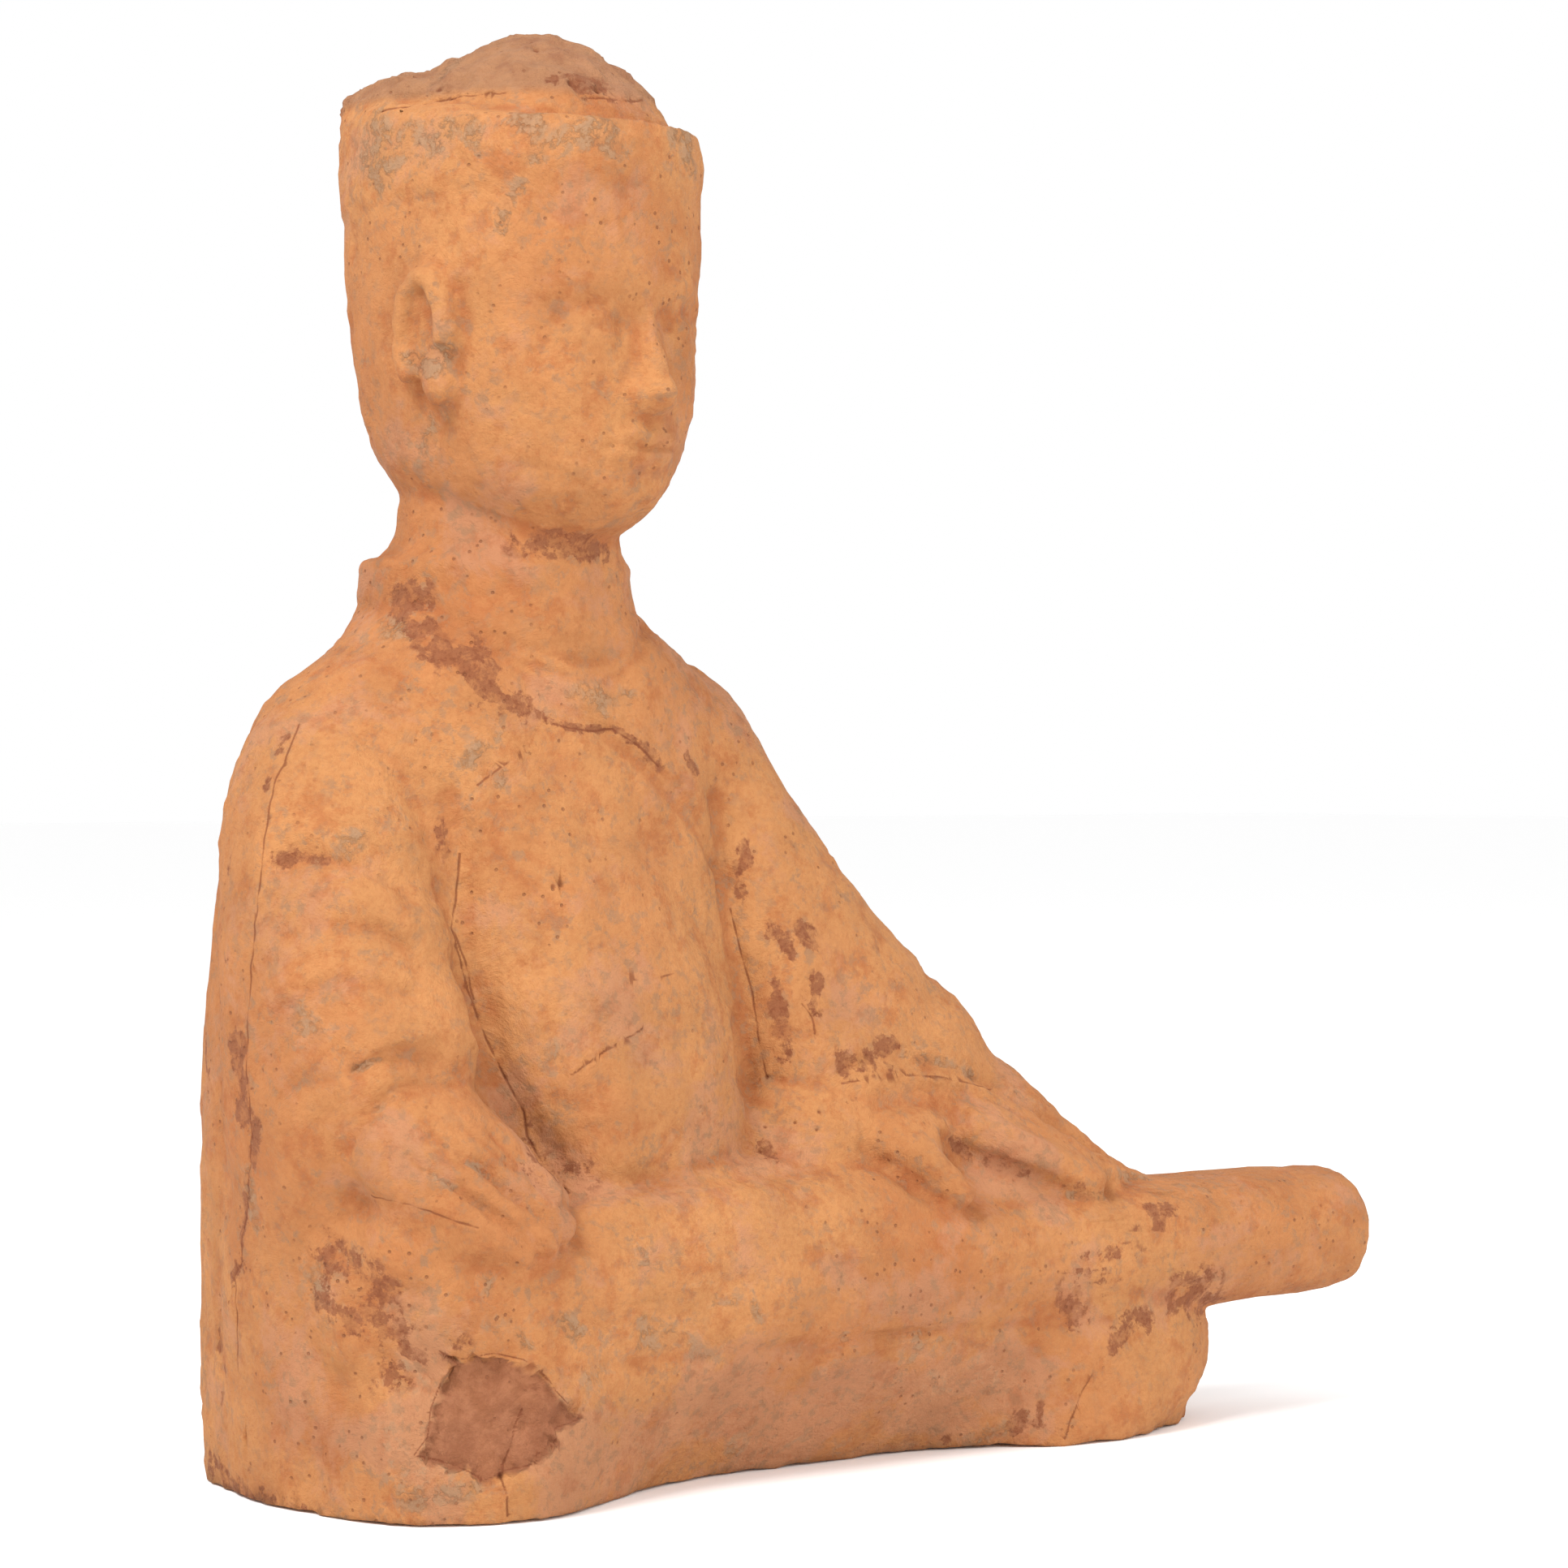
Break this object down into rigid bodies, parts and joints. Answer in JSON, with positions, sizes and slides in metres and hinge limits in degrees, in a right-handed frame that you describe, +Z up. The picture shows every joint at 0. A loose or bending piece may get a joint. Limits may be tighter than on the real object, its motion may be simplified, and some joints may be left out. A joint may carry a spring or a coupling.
{
  "type": "terracotta musician figure",
  "caption": "Fired-clay figure in a robe and round cap, seated with a zither across the lap and both hands on it, worn and stained from burial.",
  "frame": {"origin": "on the flat underside, straight below the middle of the collar", "axes": "+Z up; -Y is the way the zither and the knees face; +X towards the figure's own left hand and the free end of the zither"},
  "size_m": [0.3303, 0.1266, 0.353],
  "materials": {
    "terracotta": "matte unglazed fired clay with grey-beige soil and brown-purple stains"
  },
  "bodies": {
    "root": {"musician_figure": "terracotta"}
  },
  "joints": []
}
